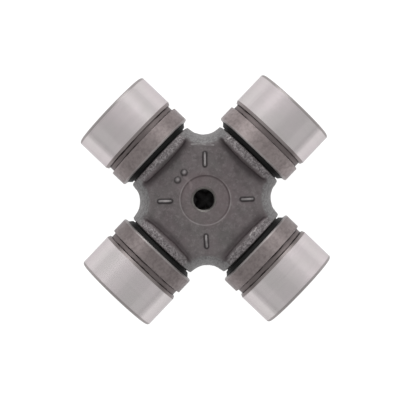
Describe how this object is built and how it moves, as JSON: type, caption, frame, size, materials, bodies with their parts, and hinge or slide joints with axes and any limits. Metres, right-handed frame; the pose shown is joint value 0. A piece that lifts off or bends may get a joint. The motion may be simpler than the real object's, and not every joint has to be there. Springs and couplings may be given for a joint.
{
  "type": "universal joint cross",
  "caption": "Forged cross with needle bearing cups on its trunnions, lip seals, ring grooves and a central tapped grease port, for joining the yokes of a drive shaft.",
  "frame": {"origin": "the point where the two trunnion axes cross, in the middle of the cross", "axes": "+X and +Y along two neighbouring arms, +Z out of the web face with the tapped port"},
  "size_m": [0.0872, 0.0872, 0.0302],
  "materials": {
    "forging": "dark phosphate on a forged skin",
    "cup_steel": "ground outside, dull satin collar",
    "needle_steel": "polished",
    "washer_plastic": "moulded nylon",
    "case_steel": "pressed sheet",
    "seal_rubber": "moulded, matt"
  },
  "bodies": {
    "cross": {"cross_spider": "forging"},
    "right_cup_set": {"right_cup": "cup_steel", "right_thrust_washer": "washer_plastic", "right_seal_case": "case_steel", "right_lip_seal": "seal_rubber"},
    "right_needle_set": {"right_needles": "needle_steel"},
    "back_cup_set": {"back_cup": "cup_steel", "back_thrust_washer": "washer_plastic", "back_seal_case": "case_steel", "back_lip_seal": "seal_rubber"},
    "back_needle_set": {"back_needles": "needle_steel"},
    "left_cup_set": {"left_cup": "cup_steel", "left_thrust_washer": "washer_plastic", "left_seal_case": "case_steel", "left_lip_seal": "seal_rubber"},
    "left_needle_set": {"left_needles": "needle_steel"},
    "front_cup_set": {"front_cup": "cup_steel", "front_thrust_washer": "washer_plastic", "front_seal_case": "case_steel", "front_lip_seal": "seal_rubber"},
    "front_needle_set": {"front_needles": "needle_steel"}
  },
  "joints": [
    {"name": "right_cup_spin", "type": "hinge", "parent": "cross", "child": "right_cup_set", "pos_m": [0.0371, 0, 0], "axis": [1, 0, 0], "continuous": true},
    {"name": "right_needle_orbit", "type": "hinge", "parent": "cross", "child": "right_needle_set", "pos_m": [0.0371, 0, 0], "axis": [1, 0, 0], "continuous": true},
    {"name": "back_cup_spin", "type": "hinge", "parent": "cross", "child": "back_cup_set", "pos_m": [0, 0.0371, 0], "axis": [0, 1, 0], "continuous": true},
    {"name": "back_needle_orbit", "type": "hinge", "parent": "cross", "child": "back_needle_set", "pos_m": [0, 0.0371, 0], "axis": [0, 1, 0], "continuous": true},
    {"name": "left_cup_spin", "type": "hinge", "parent": "cross", "child": "left_cup_set", "pos_m": [-0.0371, 0, 0], "axis": [-1, 0, 0], "continuous": true},
    {"name": "left_needle_orbit", "type": "hinge", "parent": "cross", "child": "left_needle_set", "pos_m": [-0.0371, 0, 0], "axis": [-1, 0, 0], "continuous": true},
    {"name": "front_cup_spin", "type": "hinge", "parent": "cross", "child": "front_cup_set", "pos_m": [0, -0.0371, 0], "axis": [0, -1, 0], "continuous": true},
    {"name": "front_needle_orbit", "type": "hinge", "parent": "cross", "child": "front_needle_set", "pos_m": [0, -0.0371, 0], "axis": [0, -1, 0], "continuous": true}
  ],
  "couplings": [
    {"joint": "right_needle_orbit", "follows": "right_cup_spin", "ratio": 0.55505},
    {"joint": "back_needle_orbit", "follows": "back_cup_spin", "ratio": 0.55505},
    {"joint": "left_needle_orbit", "follows": "left_cup_spin", "ratio": 0.55505},
    {"joint": "front_needle_orbit", "follows": "front_cup_spin", "ratio": 0.55505}
  ]
}
